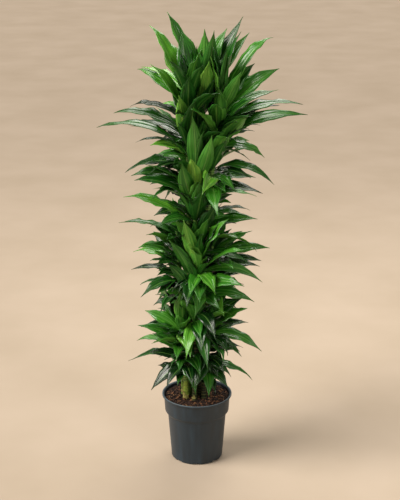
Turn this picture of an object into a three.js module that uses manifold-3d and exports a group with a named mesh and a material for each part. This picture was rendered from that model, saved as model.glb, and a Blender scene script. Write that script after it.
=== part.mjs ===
// A potted corn plant: eleven leafy shoots of stepped height, each a bare cane with a head of long
// blades, standing in potting mix in one plastic nursery pot.
// Millimetres, +Z up, origin at the middle of the pot's underside, with -Y towards the viewer.
import * as THREE from "three";
import { mergeVertices } from "three/addons/utils/BufferGeometryUtils.js";
import Module from "manifold-3d";

const wasm = await Module();
wasm.setup();

// ---- driving dimensions ----
const rimRadius = 135;
const potHeight = 265;
const footRadius = 99;
const stepRadius = 113; // of the tapered wall, just under the step
const bandRadius = { bottom: 124, top: 128 };
const wall = 2.6;
const lipHeight = 8;
const bandBottom = 196; // the wide band under the lip ends here, and the wall steps in
const stepBottom = 182;
const floorThickness = 4;
const potSides = 30;
const drainCount = 8;
const drainSize = { width: 27, height: 6, depth: 16 };

const soilLevel = 253;
const soilRelief = 3.2;
const soilGap = 0.5; // between the root ball and the pot
const rootEnd = soilLevel - 90; // how far down each cane stands in the mix
const collar = soilLevel + 20; // where a cane is clear of the mix

const caneRadius = { foot: 11, top: 9 };
const shootRadius = { foot: 9, tip: 4.5 };
const caneSides = 8;
const shootSides = 6;
const holeGap = 0.4; // between a cane and its hole in the mix
const jointGap = 0.3; // between a bare cane and the green shoot that it carries

const bladeThickness = { root: 2.6, tip: 0.9 }; // at the midrib, thinning to the edges
const rootTail = 3; // of a blade's root behind the shoot's middle
const bladeFold = 14; // degrees that each half of a blade is folded up from the midrib
const waveHeight = 0.07; // of the blade's width, at the edges
const waveCount = 2.3; // ripples along an edge
const stations = [0, 0.18, 0.46, 0.76, 1]; // along the blade, from root to tip
const clearance = 2; // that each blade keeps from those of other shoots
const ownClearance = 1.4; // and from those of its own

// ---- the shoots ----
// foot and head are the cane's middle at the mix and at its growing tip, in plan.
// seen holds blades set by hand: height of the root on the cane, tip x, y, z, arch and width.
// count more are set round the shoot by rule, reach long, and then fill smaller ones in the gaps.
// A blade that finds no room clear of the others is left out.
const shoots = [
  {
    name: "tall_left",
    foot: [-30, 2],
    head: [-30, 5],
    top: 1452,
    leafy: 500,
    count: 24,
    fill: 6,
    reach: 300,
    seen: [
      [1425, -160, 60, 1685, 0.1, 66],
      [1340, -155, -50, 1560, 0.1, 52],
      [1400, -255, 40, 1515, 0.18, 42],
      [1430, -210, 110, 1505, 0.15, 44],
      [1370, -220, 20, 1460, 0.2, 46],
      [1335, -240, -40, 1415, 0.2, 50],
      [1290, -295, -60, 1395, 0.14, 52],
      [1240, -365, -10, 1325, 0.2, 50],
      [1265, -270, 70, 1315, 0.16, 46],
      [1200, -165, -110, 1280, 0.2, 46],
      [1175, -265, -30, 1160, 0.22, 46],
      [1150, -240, 50, 1160, 0.22, 42],
      [1105, -245, -10, 1135, 0.2, 44],
      [1320, -28, -50, 1560, 0.06, 56],
      [1225, -80, -85, 1455, 0.1, 60],
    ],
  },
  {
    name: "tall_right",
    foot: [9, -2],
    head: [88, -5],
    top: 1405,
    leafy: 400,
    count: 22,
    fill: 6,
    reach: 290,
    seen: [
      [1390, 275, 70, 1640, 0.3, 46],
      [1375, 195, -50, 1655, 0.1, 62],
      [1360, 300, 30, 1530, 0.15, 54],
      [1320, 385, 0, 1405, 0.2, 48],
      [1270, 385, -70, 1410, 0.15, 42],
      [1345, 300, 90, 1435, 0.15, 40],
      [1350, 180, -70, 1540, 0.12, 44],
      [1300, 235, -90, 1455, 0.14, 44],
      [1215, 185, -110, 1390, 0.14, 62],
      [1150, 105, -90, 1290, 0.1, 40],
      [1235, 265, -30, 1195, 0.28, 50],
      [1200, 215, 70, 1250, 0.2, 42],
      [1160, 285, -50, 1115, 0.32, 34],
      [1290, 98, -75, 1485, 0.08, 52],
      [1095, 70, -145, 985, 0.32, 52],
    ],
  },
  {
    name: "tall_back",
    foot: [-22, 22],
    head: [25, 40],
    top: 1478,
    leafy: 380,
    count: 28,
    fill: 8,
    reach: 290,
    seen: [
      [1450, -105, 70, 1725, 0.1, 58],
      [1400, 30, 25, 1680, 0.06, 56],
      [1430, 175, 60, 1705, 0.1, 50],
      [1390, 165, 0, 1665, 0.12, 46],
      [1355, 44, -45, 1572, 0.06, 54],
      [1330, 40, -60, 1565, 0.1, 50],
      [1250, 5, -45, 1425, 0.1, 56],
      [1205, 55, -40, 1385, 0.12, 54],
    ],
  },
  {
    name: "middle_front",
    foot: [-10, -16],
    head: [-2, -38],
    top: 1190,
    leafy: 390,
    count: 18,
    fill: 14,
    reach: 265,
    seen: [
      [1130, -14, -95, 1380, 0.08, 56],
      [1050, -225, -80, 1145, 0.18, 60],
      [950, -265, -70, 1085, 0.14, 60],
      [960, -150, -130, 935, 0.3, 42],
      [1040, 220, -70, 1080, 0.2, 34],
      [1010, -36, -95, 1256, 0.1, 54],
      [965, 5, -100, 1165, 0.1, 48],
      [850, 78, -120, 1070, 0.14, 54],
      [1080, 56, -95, 1312, 0.1, 52],
      [925, -72, -105, 1150, 0.12, 50],
      [930, -110, -120, 1050, 0.18, 46],
      [825, 40, -125, 1010, 0.16, 46],
      [830, -75, -120, 985, 0.18, 46],
    ],
  },
  {
    name: "middle_back",
    foot: [2, 22],
    head: [30, 45],
    top: 1240,
    leafy: 430,
    count: 25,
    fill: 8,
    reach: 255,
    seen: [
      [1080, 220, 40, 1120, 0.22, 38],
      [1060, 240, -30, 1095, 0.22, 44],
      [920, 225, -30, 980, 0.18, 46],
      [950, 205, 50, 980, 0.2, 40],
      [1200, 65, 0, 1345, 0.1, 56],
      [1060, 25, -15, 1215, 0.1, 50],
    ],
  },
  {
    name: "half_front",
    foot: [-9, -41],
    head: [12, -66],
    top: 870,
    leafy: 370,
    count: 16,
    fill: 14,
    reach: 235,
    seen: [
      [800, 108, -112, 1006, 0.14, 58],
      [790, 35, -140, 865, 0.12, 44],
      [770, 245, -60, 740, 0.32, 36],
      [680, 220, -60, 665, 0.26, 46],
      [745, 10, -200, 710, 0.36, 56],
      [640, -50, -150, 745, 0.15, 42],
      [790, -48, -112, 1000, 0.1, 52],
      [710, -88, -115, 915, 0.12, 48],
      [725, -75, -185, 670, 0.36, 48],
      [610, 70, -185, 560, 0.36, 46],
      [655, -66, -118, 855, 0.12, 48],
      [560, -60, -135, 705, 0.18, 44],
      [540, 80, -140, 665, 0.2, 46],
      [575, -40, -175, 480, 0.3, 44],
      [545, 40, -180, 440, 0.3, 46],
      [770, 70, -170, 735, 0.34, 50],
    ],
  },
  {
    name: "half_left",
    foot: [-52, 14],
    head: [-76, 20],
    top: 930,
    leafy: 340,
    count: 22,
    fill: 6,
    reach: 235,
    seen: [
      [895, -290, -20, 960, 0.18, 42],
      [800, -215, -50, 880, 0.2, 52],
      [775, -240, 10, 845, 0.2, 40],
      [740, -250, 30, 760, 0.2, 32],
      [715, -210, -60, 680, 0.34, 42],
      [690, -220, 30, 705, 0.26, 32],
    ],
  },
  {
    name: "half_right",
    foot: [24, 36],
    head: [66, 52],
    top: 900,
    leafy: 340,
    count: 23,
    fill: 6,
    reach: 235,
    seen: [
      [800, 275, 0, 855, 0.2, 42],
      [760, 240, -30, 820, 0.2, 44],
      [730, 240, 40, 770, 0.22, 36],
      [680, 180, 70, 685, 0.2, 32],
    ],
  },
  {
    name: "low_left",
    foot: [-43, -26],
    head: [-58, -48],
    top: 565,
    leafy: 240,
    count: 13,
    fill: 10,
    reach: 205,
    seen: [
      [530, -200, 0, 605, 0.2, 42],
      [470, -225, -40, 560, 0.2, 44],
      [425, -235, 20, 475, 0.36, 30],
      [410, -175, -60, 490, 0.2, 40],
      [385, -175, -60, 300, 0.36, 50],
      [520, -40, -150, 530, 0.36, 42],
      [440, -10, -170, 485, 0.3, 38],
      [480, -95, -150, 600, 0.2, 44],
      [400, 0, -135, 318, 0.3, 48],
      [430, 25, -145, 400, 0.34, 48],
      [500, -62, -108, 712, 0.1, 50],
    ],
  },
  {
    name: "low_right",
    foot: [26, -25],
    head: [56, -38],
    top: 620,
    leafy: 300,
    count: 13,
    fill: 10,
    reach: 210,
    seen: [
      [570, 170, -40, 670, 0.12, 46],
      [535, 190, -80, 645, 0.14, 54],
      [500, 200, 20, 550, 0.2, 30],
      [515, 250, -50, 465, 0.32, 42],
      [480, 170, -110, 475, 0.4, 38],
      [390, 220, -20, 330, 0.24, 34],
      [370, 120, -80, 320, 0.3, 40],
      [420, 105, -130, 400, 0.3, 40],
      [440, 155, -40, 455, 0.24, 38],
      [345, 55, -70, 310, 0.2, 44],
      [500, 60, -150, 600, 0.25, 44],
      [410, -5, -140, 345, 0.3, 46],
      [375, 45, -130, 300, 0.28, 44],
    ],
  },
  {
    name: "low_back",
    foot: [-34, 42],
    head: [-46, 72],
    top: 680,
    leafy: 350,
    count: 21,
    fill: 6,
    reach: 210,
    seen: [[400, -265, 20, 385, 0.2, 32]],
  },
];

// How far the foliage between the blades set by hand spreads to the left and right, by height.
const spread = [
  { height: 330, left: 120, right: 140 },
  { height: 435, left: 160, right: 165 },
  { height: 565, left: 190, right: 185 },
  { height: 645, left: 125, right: 150 },
  { height: 770, left: 170, right: 190 },
  { height: 870, left: 205, right: 220 },
  { height: 930, left: 165, right: 175 },
  { height: 1020, left: 135, right: 120 },
  { height: 1075, left: 175, right: 135 },
  { height: 1195, left: 145, right: 215 },
  { height: 1280, left: 130, right: 190 },
  { height: 1365, left: 185, right: 265 },
  { height: 1480, left: 160, right: 260 },
  { height: 1660, left: 150, right: 185 },
];

// ---- random draws ----
let drawState = 20260;
// The next number from 0 to 1 of a seeded run.
function draw() {
  drawState = (Math.imul(drawState, 1664525) + 1013904223) >>> 0;
  return drawState / 4294967296;
}
const between = (low, high) => low + (high - low) * draw();
const radians = (degrees) => (degrees * Math.PI) / 180;

// ---- where things are on a shoot ----
// The cane's middle at a height: upright up to its collar, then leaning out more and more.
function caneMiddle(shoot, height) {
  const t = Math.max(0, (height - collar) / (shoot.top - collar));
  const lean = t * t;
  return [0, 1].map(
    (i) => shoot.foot[i] + (shoot.head[i] - shoot.foot[i]) * lean,
  );
}
const leafyFoot = (shoot) => shoot.top - shoot.leafy;
const caneRadiusAt = (shoot, height) => {
  const t = (height - soilLevel) / (leafyFoot(shoot) - soilLevel);
  return (
    caneRadius.foot + (caneRadius.top - caneRadius.foot) * Math.min(1, t)
  );
};

const shootRadiusAt = (shoot, height) => {
  const t = (height - leafyFoot(shoot)) / shoot.leafy;
  return shootRadius.foot + (shootRadius.tip - shootRadius.foot) * t ** 2;
};

// ---- the form of a blade ----
// Half the width at a place along the blade, as a share of the widest: narrow at the root, widest
// just short of the middle and long pointed.
function outline(s) {
  return (s / 0.48) ** 1.2 * ((1 - s) / 0.52) ** 1.3;
}

// A blade's midrib at s, with the directions across and out of its upper face there.
function midribAt(blade, s) {
  const { root, heading, reach, climb, arch } = blade;
  const tip = new THREE.Vector3(
    root[0] + reach * Math.cos(heading),
    root[1] + reach * Math.sin(heading),
    root[2] + climb,
  );
  const start = new THREE.Vector3(...root);
  const crown = start.clone().add(tip).multiplyScalar(0.5);
  crown.z += arch * start.distanceTo(tip);
  const at = new THREE.QuadraticBezierCurve3(start, crown, tip);
  const along = at.getTangent(Math.min(s, 0.999));
  const across = new THREE.Vector3(-Math.sin(heading), Math.cos(heading), 0);
  const up = along.clone().cross(across);
  const roll = blade.roll * (0.4 + 0.6 * s);
  const side = across
    .clone()
    .multiplyScalar(Math.cos(roll))
    .addScaledVector(up, Math.sin(roll));
  const out = up
    .multiplyScalar(Math.cos(roll))
    .addScaledVector(across, -Math.sin(roll));
  return { point: at.getPoint(s), side, out };
}

// The left edge, upper midrib, right edge and lower midrib of a blade at one station.
function sectionAt(blade, s, grow = 0, lift = 0) {
  const { point, side, out } = midribAt(blade, s);
  const half = (blade.width / 2) * outline(s) + (s < 1 ? grow : 0);
  const fold = radians(bladeFold);
  const edge = (sign, phase) => {
    const swell = Math.sin(Math.PI * s);
    const wave =
      waveHeight *
      blade.width *
      swell *
      Math.sin(2 * Math.PI * waveCount * s + blade.phase + phase);
    return point
      .clone()
      .addScaledVector(side, sign * half * Math.cos(fold))
      .addScaledVector(out, half * Math.sin(fold) + wave + lift);
  };
  const { root, tip } = bladeThickness;
  const thick = (root + (tip - root) * s) / 2;
  return [
    edge(1, 0),
    point.clone().addScaledVector(out, thick + lift),
    edge(-1, 1.9),
    point.clone().addScaledVector(out, lift - thick),
  ];
}

// ---- keeping blades apart ----
// Where along a blade it comes out of its own shoot.
function emergence(blade) {
  const { shoot, root, reach } = blade;
  return Math.min(0.4, (shootRadiusAt(shoot, root[2]) + 1.5) / reach);
}

// A triangle with the box round it, so that most pairs are told apart at a glance.
const facet = (a, b, c) => ({
  a,
  b,
  c,
  box: new THREE.Box3().setFromPoints([a, b, c]),
});

// The middle surface of a blade outside its shoot: two facets for each half of each stretch.
function middleSurface(blade, grow = 0, lift = 0) {
  const from = emergence(blade);
  const rows = [from, ...stations.filter((s) => s > from + 0.02)].map((s) => {
    const [left, upper, right, lower] = sectionAt(blade, s, grow, lift);
    return [left, upper.add(lower).multiplyScalar(0.5), right];
  });
  const facets = [];
  for (let i = 0; i + 1 < rows.length; i++) {
    for (const j of [0, 1]) {
      const [a, b] = [rows[i][j], rows[i][j + 1]];
      const [c, d] = [rows[i + 1][j], rows[i + 1][j + 1]];
      facets.push(facet(a, b, c), facet(b, d, c));
    }
  }
  return facets;
}

// True if the line from p to q passes through a facet.
const work = Array.from({ length: 5 }, () => new THREE.Vector3());
function passesThrough(p, q, { a, b, c }) {
  const [ab, ac, pq, ap, normal] = work;
  ab.subVectors(b, a);
  ac.subVectors(c, a);
  pq.subVectors(q, p);
  normal.crossVectors(pq, ac);
  const size = ab.dot(normal);
  if (Math.abs(size) < 1e-9) return false;
  ap.subVectors(p, a);
  const u = ap.dot(normal) / size;
  if (u < 0 || u > 1) return false;
  ap.cross(ab);
  const v = pq.dot(ap) / size;
  const t = ac.dot(ap) / size;
  return v >= 0 && u + v <= 1 && t >= 0 && t <= 1;
}
const edgeCrosses = ({ a, b, c }, other) =>
  passesThrough(a, b, other) ||
  passesThrough(b, c, other) ||
  passesThrough(c, a, other);
const facetsCross = (some, others) =>
  some.some((f) =>
    others.some(
      (g) =>
        f.box.intersectsBox(g.box) && (edgeCrosses(f, g) || edgeCrosses(g, f)),
    ),
  );
const boxOf = (facets) =>
  facets.reduce((box, f) => box.union(f.box), new THREE.Box3());

// What a blade must stay clear of: every blade set so far, and the posts of the other shoots.
const obstacles = [];
function addObstacle(shoot, facets, isPost) {
  obstacles.push({ shoot, facets, isPost, box: boxOf(facets) });
}

function isClear(blade) {
  const layersAt = (gap) =>
    [-gap, 0, gap].flatMap((lift) => middleSurface(blade, gap, lift));
  const wide = layersAt(clearance);
  const close = layersAt(ownClearance);
  const overPot = (p) =>
    Math.hypot(p.x, p.y) > rimRadius + 10 || p.z > potHeight + 5;
  if (!wide.every((f) => [f.a, f.b, f.c].every(overPot))) return false;
  const box = boxOf(wide);
  return !obstacles.some((other) => {
    if (!box.intersectsBox(other.box)) return false;
    const own = other.shoot === blade.shoot;
    if (own && other.isPost) return false;
    return facetsCross(own ? close : wide, other.facets);
  });
}

// ---- setting the blades ----
// Turns of the heading and of the slope, in degrees, the smallest first.
function nudges(turns, lifts) {
  const pairs = turns.flatMap((turn) => lifts.map((lift) => [turn, lift]));
  const size = ([turn, lift]) => Math.abs(turn) + 1.4 * Math.abs(lift);
  return pairs.sort((one, other) => size(one) - size(other));
}
const seenNudges = nudges(
  [0, 5, -5, 10, -10, 16, -16, 24, -24],
  [0, 5, -5, 10, -10, 16, -16],
);
const ruleNudges = nudges(
  [0, 10, -10, 20, -20, 30, -30, 42, -42, 55, -55],
  [0, 8, -8, 16, -16, 26],
);

// Sets one blade, turned aside by as little as keeps it clear, if there is room for it at all.
function settle(shoot, height, form, offers) {
  const [x, y] = caneMiddle(shoot, height);
  const length = Math.hypot(form.climb, form.reach);
  for (const [turn, lift] of offers) {
    const slope = Math.min(
      radians(84),
      Math.atan2(form.climb, form.reach) + radians(lift),
    );
    const blade = {
      ...form,
      shoot,
      root: [x, y, height],
      heading: form.heading + radians(turn),
      reach: length * Math.cos(slope),
      climb: length * Math.sin(slope),
    };
    if (isClear(blade)) {
      addObstacle(shoot, middleSurface(blade), false);
      shoot.blades.push(blade);
      return true;
    }
  }
  return false;
}

// The blades that the front view shows best, towards the tips given by hand, faces to the viewer.
function settleSeen(shoot) {
  for (const [height, x, y, z, arch, width] of shoot.seen) {
    const [rootX, rootY] = caneMiddle(shoot, height);
    const heading = Math.atan2(y - rootY, x - rootX);
    const [reach, climb] = [Math.hypot(x - rootX, y - rootY), z - height];
    const steepness = climb / Math.hypot(climb, reach);
    const showsBack = steepness > 0.7 && Math.sin(heading) < -0.5; // leans out to the front
    const faced = (34 + 34 * steepness ** 2) * Math.cos(heading) * (showsBack ? -1 : 1);
    const form = {
      heading,
      reach,
      climb,
      arch,
      width: width * (showsBack ? 1.06 : 1.22),
      roll: radians(faced + between(-16, 16)),
      phase: between(0, 6.28),
    };
    settle(shoot, height, form, seenNudges);
  }
}

// The plan radius that the spread allows in a direction at a height.
function spreadAt(height, direction) {
  const i = spread.findIndex((row) => row.height > height);
  const [high, low] = [spread.at(i), spread.at(Math.max(0, i - 1))];
  const t = (height - low.height) / (high.height - low.height || 1);
  const mix = (side) =>
    low[side] + (high[side] - low[side]) * Math.min(1, Math.max(0, t));
  const sideways = mix(Math.cos(direction) > 0 ? "right" : "left");
  const depth = 0.62 * (mix("left") + mix("right"));
  return (
    1 /
    Math.hypot(Math.cos(direction) / sideways, Math.sin(direction) / depth)
  );
}

// A blade's length, cut down by as much as keeps its tip within the spread.
function fittedLength(shoot, height, heading, slope, length) {
  const [x, y] = caneMiddle(shoot, height);
  for (let share = 1; share > 0.5; share -= 0.06) {
    const reach = length * share * Math.cos(slope);
    const [tipX, tipY] = [
      x + reach * Math.cos(heading),
      y + reach * Math.sin(heading),
    ];
    const tipHeight = height + length * share * Math.sin(slope);
    const allowed = spreadAt(tipHeight, Math.atan2(tipY, tipX));
    if (Math.hypot(tipX, tipY) < allowed) return length * share;
  }
  return length * 0.5;
}

// Sets a blade by rule at a share t of the way up the leafy length, within the spread.
function settleByRule(shoot, t, { heading, slope, size, arch, tilt }) {
  const height = leafyFoot(shoot) + 14 + (shoot.leafy - 20) * t ** 0.85;
  const full = shoot.reach * size;
  const length = fittedLength(shoot, height, heading, slope, full);
  const grown = 0.4 + (0.6 * length) / full;
  const form = {
    heading,
    reach: length * Math.cos(slope),
    climb: length * Math.sin(slope),
    arch,
    width: (18 + shoot.reach * between(0.14, 0.19)) * grown,
    roll: radians(24 * Math.cos(heading) + tilt),
    phase: between(0, 6.28),
  };
  return [0, 7, -7].some((shift) =>
    settle(shoot, height + shift, form, ruleNudges),
  );
}

// A golden angle apart up the shoot: drooping at its foot, upright at its growing tip.
function settleRest(shoot) {
  const outward = Math.atan2(shoot.head[1], shoot.head[0]);
  const standsBefore = shoot.top < 1300; // another shoot, so few are set on its inner side
  for (let i = 0; i < shoot.count; i++) {
    const t = (i + 0.5) / shoot.count;
    const spiral = radians(137.508) * i + shoot.leafy - outward;
    const aside = Math.atan2(Math.sin(spiral), Math.cos(spiral));
    settleByRule(shoot, t, {
      heading: outward + aside * (standsBefore ? 0.72 : 1),
      slope: radians(-4 + 82 * t ** 1.4 + between(-10, 10) * (1 - 0.7 * t)),
      size: (1 - 0.3 * t ** 4) * between(0.86, 1.06),
      arch: between(0.16, 0.34) * (1 - 0.7 * t),
      tilt: between(-34, 34),
    });
  }
}

// Smaller ones that close the gaps in front of the canes, by turns upright and hanging.
function fillGaps(shoot) {
  const front = -Math.PI / 2;
  const outward = Math.atan2(shoot.head[1], shoot.head[0]);
  const facing = outward < 0 ? front + 0.45 * (outward - front) : outward;
  for (let i = 0; i < shoot.fill; i++) {
    const t = (i + 0.5) / shoot.fill;
    const hangs = i % 2 === 1;
    settleByRule(shoot, t, {
      heading: facing + radians((i % 4 < 2 ? 1 : -1) * between(6, 50)),
      slope: radians(hangs ? between(-42, -20) : between(58, 74)),
      size: between(0.6, 0.8),
      arch: hangs ? between(0.26, 0.36) : between(0.1, 0.16),
      tilt: between(-24, 24),
    });
  }
}

// ---- making solids ----
function solidOf(geometry) {
  geometry.deleteAttribute("normal");
  geometry.deleteAttribute("uv");
  const merged = mergeVertices(geometry, 1e-4);
  return new wasm.Manifold(
    new wasm.Mesh({
      numProp: 3,
      vertProperties: new Float32Array(merged.attributes.position.array),
      triVerts: new Uint32Array(merged.index.array),
    }),
  );
}

function geometryOf(solid) {
  const { vertProperties, triVerts, numProp } = solid.getMesh();
  const points = [];
  for (let i = 0; i < vertProperties.length; i += numProp)
    points.push(...vertProperties.subarray(i, i + 3));
  const geometry = new THREE.BufferGeometry();
  geometry.setAttribute(
    "position",
    new THREE.Float32BufferAttribute(points, 3),
  );
  geometry.setIndex([...triVerts]);
  geometry.computeVertexNormals();
  return geometry;
}

// A post through rings at the given heights that follows a shoot's lean, with level ends.
function postGeometry(shoot, heights, radiusAt, sides = caneSides) {
  const steps = heights.length - 1;
  const geometry = new THREE.CylinderGeometry(1, 1, 1, sides, steps);
  geometry.rotateX(Math.PI / 2);
  const points = geometry.attributes.position;
  for (let i = 0; i < points.count; i++) {
    const height = heights[Math.round((points.getZ(i) + 0.5) * steps)];
    const [x, y] = caneMiddle(shoot, height);
    const radius = radiusAt(height);
    points.setXYZ(
      i,
      x + points.getX(i) * radius,
      y + points.getY(i) * radius,
      height,
    );
  }
  return geometry;
}

// Heights from low to high, about a step apart.
function ladder(low, high, step) {
  const count = Math.max(1, Math.round((high - low) / step));
  return Array.from(
    { length: count + 1 },
    (_, i) => low + ((high - low) * i) / count,
  );
}

// A blade as a closed solid, its faces split the same way above and below, so that they never cross.
// Its root runs to a point inside the shoot, behind the shoot's middle.
function bladeGeometry(blade) {
  const rings = stations.slice(1, -1).map((s) => sectionAt(blade, s));
  const start = midribAt(blade, 0).point;
  start.x -= rootTail * Math.cos(blade.heading);
  start.y -= rootTail * Math.sin(blade.heading);
  const points = [start, ...rings.flat(), midribAt(blade, 1).point];
  const last = 4 * rings.length - 3;
  const faces = [];
  for (let j = 0; j < 4; j++) {
    const k = (j + 1) % 4;
    faces.push([0, 1 + k, 1 + j]);
    faces.push([last + j, last + k, last + 4]);
  }
  const [left, upper, right, lower] = [0, 1, 2, 3];
  for (let here = 1; here < last; here += 4) {
    const next = here + 4;
    faces.push([here + left, next + upper, next + left]);
    faces.push([here + left, here + upper, next + upper]);
    faces.push([here + upper, here + right, next + upper]);
    faces.push([next + upper, here + right, next + right]);
    faces.push([here + right, next + lower, next + right]);
    faces.push([here + right, here + lower, next + lower]);
    faces.push([here + lower, here + left, next + lower]);
    faces.push([next + lower, here + left, next + left]);
  }
  const geometry = new THREE.BufferGeometry().setFromPoints(points);
  geometry.setIndex(faces.flat());
  return geometry;
}

// ---- the pot ----
function potSolid() {
  const taper = (stepRadius - footRadius) / stepBottom;
  const outer = [
    [footRadius - 3, 0],
    [footRadius + 0.5, 4],
    [stepRadius, stepBottom],
    [bandRadius.bottom, bandBottom],
    [bandRadius.top, potHeight - lipHeight],
    [rimRadius, potHeight - lipHeight + 1],
    [rimRadius, potHeight - 1.5],
    [rimRadius - 1.5, potHeight],
  ];
  const inner = [
    [rimRadius - 5, potHeight],
    [bandRadius.top - wall, potHeight - 3],
    [bandRadius.bottom - wall, bandBottom + 1],
    [stepRadius - wall, stepBottom + 1],
    [footRadius - wall + taper * floorThickness, floorThickness],
  ];
  const profile = [[0, 0], ...outer, ...inner, [0, floorThickness]].map(
    ([r, z]) => new THREE.Vector2(r, z),
  );
  const lathe = new THREE.LatheGeometry(profile, potSides);
  lathe.rotateX(Math.PI / 2);
  let pot = solidOf(lathe);
  for (let i = 0; i < drainCount; i++) {
    const angle = -Math.PI / 2 + (2 * Math.PI * i) / drainCount;
    const slot = new THREE.BoxGeometry(
      drainSize.depth * 2,
      drainSize.width,
      drainSize.height * 2,
    );
    slot.translate(footRadius, 0, 0);
    slot.rotateZ(angle);
    pot = pot.subtract(solidOf(slot));
  }
  return pot;
}

// ---- the potting mix ----
// The height of the mix's lumpy top at a place, by three crossing ripples.
function soilTop(x, y) {
  const ripple =
    Math.sin(x * 0.11 + 1.3) * Math.cos(y * 0.13 - 0.4) +
    0.6 * Math.sin(x * 0.21 - y * 0.17) +
    0.4 * Math.cos(x * 0.05 + y * 0.31);
  return soilLevel + (soilRelief / 2) * ripple;
}

function soilSolid() {
  const profile = [];
  const rings = 4;
  const topRadius = bandRadius.bottom + 1.5 - wall - soilGap;
  for (let i = 0; i <= rings; i++)
    profile.push(new THREE.Vector2((topRadius * i) / rings, soilLevel));
  const inside = (radius, height) =>
    profile.push(new THREE.Vector2(radius - wall - soilGap, height));
  inside(bandRadius.bottom, bandBottom + 1.6);
  inside(stepRadius, stepBottom + 1.6);
  inside(footRadius, floorThickness + 0.4);
  profile.push(new THREE.Vector2(0, floorThickness + 0.4));
  const lathe = new THREE.LatheGeometry(profile.reverse(), potSides);
  lathe.rotateX(Math.PI / 2);
  const points = lathe.attributes.position;
  for (let i = 0; i < points.count; i++) {
    const [x, y, z] = [points.getX(i), points.getY(i), points.getZ(i)];
    const onTop = Math.abs(z - soilLevel) < 0.01;
    if (onTop && Math.hypot(x, y) < topRadius - 1)
      points.setZ(i, soilTop(x, y));
  }
  let soil = solidOf(lathe);
  for (const shoot of shoots) {
    const hole = postGeometry(
      shoot,
      [rootEnd - 0.5, collar],
      (height) => caneRadiusAt(shoot, height) + holeGap,
    );
    soil = soil.subtract(solidOf(hole));
  }
  return soil;
}

// ---- assembly ----
const finishes = {
  pot: new THREE.MeshStandardMaterial({ color: 0x3a3f41, roughness: 0.55 }),
  soil: new THREE.MeshStandardMaterial({ color: 0x3b2a20, roughness: 1 }),
  cane: new THREE.MeshStandardMaterial({ color: 0x6f7042, roughness: 0.7 }),
  leaves: new THREE.MeshStandardMaterial({ color: 0x2c6a24, roughness: 0.4 }),
};
const plant = new THREE.Group();

function addNode(name, solid, finish) {
  const mesh = new THREE.Mesh(geometryOf(solid), finish);
  mesh.name = name;
  plant.add(mesh);
}

for (const shoot of shoots) {
  shoot.blades = [];
  const post = postGeometry(
    shoot,
    [rootEnd, ...ladder(collar, shoot.top, 120)],
    (height) => caneRadiusAt(shoot, height),
  );
  const points = post.toNonIndexed().attributes.position;
  const corner = (i) => new THREE.Vector3().fromBufferAttribute(points, i);
  const facets = [];
  for (let i = 0; i < points.count; i += 3)
    facets.push(facet(corner(i), corner(i + 1), corner(i + 2)));
  addObstacle(shoot, facets, true);
}
const frontFirst = shoots.toSorted((one, other) => one.head[1] - other.head[1]);
for (const shoot of frontFirst) settleSeen(shoot);
for (const shoot of shoots) settleRest(shoot);
for (const shoot of shoots) fillGaps(shoot);

addNode("pot", potSolid(), finishes.pot);
addNode("potting_mix", soilSolid(), finishes.soil);
for (const shoot of shoots) {
  const joint = leafyFoot(shoot);
  const cane = postGeometry(
    shoot,
    [rootEnd, ...ladder(collar, joint - jointGap, 160)],
    (height) => caneRadiusAt(shoot, height),
  );
  addNode("cane_" + shoot.name, solidOf(cane), finishes.cane);
  const stem = postGeometry(
    shoot,
    ladder(joint, shoot.top, 180),
    (height) => shootRadiusAt(shoot, height),
    shootSides,
  );
  const solids = [stem, ...shoot.blades.map(bladeGeometry)].map(solidOf);
  addNode("leaves_" + shoot.name, wasm.Manifold.union(solids), finishes.leaves);
}

export default plant;
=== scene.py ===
import math
import random

import bmesh
import bpy
from mathutils import Matrix, Vector, noise


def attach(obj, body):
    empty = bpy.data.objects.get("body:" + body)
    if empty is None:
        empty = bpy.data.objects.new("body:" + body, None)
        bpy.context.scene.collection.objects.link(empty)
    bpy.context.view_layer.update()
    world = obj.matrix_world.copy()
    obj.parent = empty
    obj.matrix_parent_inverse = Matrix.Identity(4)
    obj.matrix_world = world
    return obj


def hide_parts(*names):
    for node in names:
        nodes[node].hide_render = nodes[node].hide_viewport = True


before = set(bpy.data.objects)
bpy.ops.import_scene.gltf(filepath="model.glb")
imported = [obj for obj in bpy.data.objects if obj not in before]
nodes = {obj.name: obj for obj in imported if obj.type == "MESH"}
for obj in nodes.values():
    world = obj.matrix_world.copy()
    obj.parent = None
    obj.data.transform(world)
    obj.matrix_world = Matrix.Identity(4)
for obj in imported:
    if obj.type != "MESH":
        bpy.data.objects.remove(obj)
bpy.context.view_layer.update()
scene = bpy.context.scene
mm = 0.001
print("frame loaded:", len(nodes), "solids")


def linear(hexColour):  # sRGB hex to a linear colour with full alpha, by the sRGB curve
    parts = [int(hexColour[i:i + 2], 16) / 255 for i in (1, 3, 5)]
    return (*(p / 12.92 if p <= 0.04045 else ((p + 0.055) / 1.055) ** 2.4 for p in parts), 1)


def between(low, high, share):
    return low + (high - low) * share


def clamp(value, low=0.0, high=1.0):
    return max(low, min(high, value))


# Adds a node: settings are its own options, its ramp's stops or its sockets' values, and links
# give the outputs that feed its sockets.
def addNode(tree, kind, settings=None, links=None):
    node = tree.nodes.new(kind)
    for name, value in (settings or {}).items():
        if name == "stops":
            ramp = node.color_ramp.elements
            while len(ramp) < len(value):
                ramp.new(0.5)
            for stop, (place, colour) in zip(ramp, value):
                stop.position, stop.color = place, linear(colour)
        elif isinstance(name, int) or name in node.inputs:
            node.inputs[name].default_value = value
        else:
            setattr(node, name, value)
    for name, source in (links or {}).items():
        tree.links.new(source, node.inputs[name])
    return node


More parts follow.
